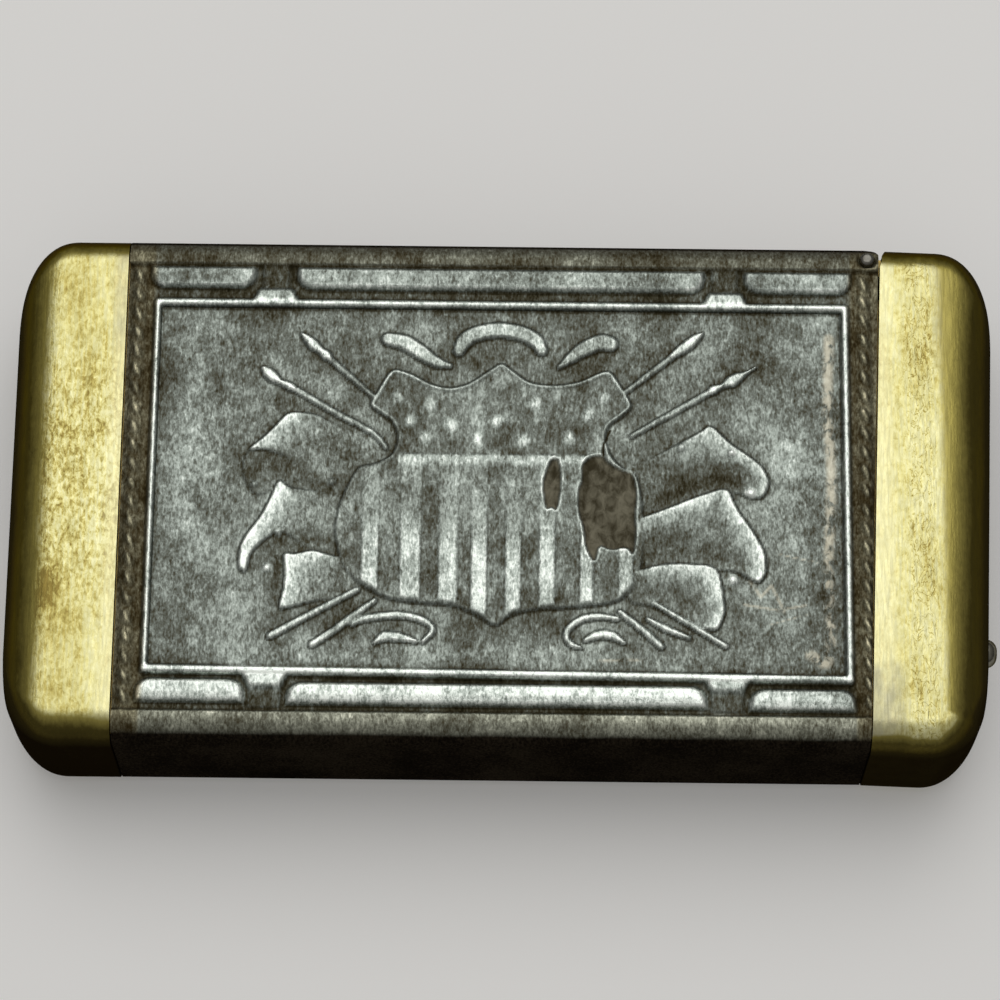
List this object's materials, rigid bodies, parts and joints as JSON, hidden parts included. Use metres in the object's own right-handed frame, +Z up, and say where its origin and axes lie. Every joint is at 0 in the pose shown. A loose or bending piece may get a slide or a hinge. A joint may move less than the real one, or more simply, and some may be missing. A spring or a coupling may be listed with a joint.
{
  "type": "matchbox holder",
  "caption": "Pocket metal match case: stamped flat sleeve, brass end caps, one of them a lid that swings sideways when a domed push button releases it.",
  "frame": {"origin": "centre of the closed case in plan, on the surface it lies on", "axes": "+X along the case towards the lid, +Y towards the hinge side, +Z up through the thickness"},
  "size_m": [0.0736, 0.0397, 0.0127],
  "materials": {
    "stamped_plate": "silver plate worn to brown in the recesses of the stamping",
    "cap_brass": "brushed and pitted old brass, darker at the rounded ends",
    "inner_brass": "dull tarnished brass",
    "bright_steel": "polished steel, slightly worn",
    "spring_steel": "blued spring steel"
  },
  "bodies": {
    "case": {"embossed_sleeve": "stamped_plate", "inner_case": "inner_brass", "mouth_collar": "inner_brass", "catch_keeper": "bright_steel", "keeper_rivets": "inner_brass", "end_cap": "cap_brass", "striker_plate": "bright_steel", "hinge_pin": "bright_steel", "lid_spring": "spring_steel", "spring_rivets": "inner_brass"},
    "lid": {"lid_cap": "cap_brass", "hinge_knuckle": "inner_brass", "lid_plate": "inner_brass", "catch_shelf": "inner_brass", "catch_pivot": "bright_steel", "catch_leaf": "spring_steel", "leaf_rivet": "inner_brass", "button_guide": "inner_brass"},
    "button": {"push_button": "bright_steel"},
    "catch": {"catch_lever": "bright_steel"}
  },
  "joints": [
    {"name": "lid_swing", "type": "hinge", "parent": "case", "child": "lid", "pos_m": [0.02743, 0.0184, 0.00635], "axis": [0, 0, 1], "range_deg": [0, 80], "deforming": ["lid_spring"]},
    {"name": "button_press", "type": "slide", "parent": "lid", "child": "button", "axis": [-0.9995, 0.0314, 0], "range_m": [0, 0.0008], "stiffness_N_per_m": 200, "springref_m": -0.0004, "deforming": ["catch_leaf"]},
    {"name": "catch_turn", "type": "hinge", "parent": "lid", "child": "catch", "pos_m": [0.03293, -0.01649, 0.00635], "axis": [0, 0, 1], "range_deg": [0, 8]}
  ],
  "couplings": [
    {"joint": "catch_turn", "follows": "button_press", "rad_per_m": 170}
  ]
}
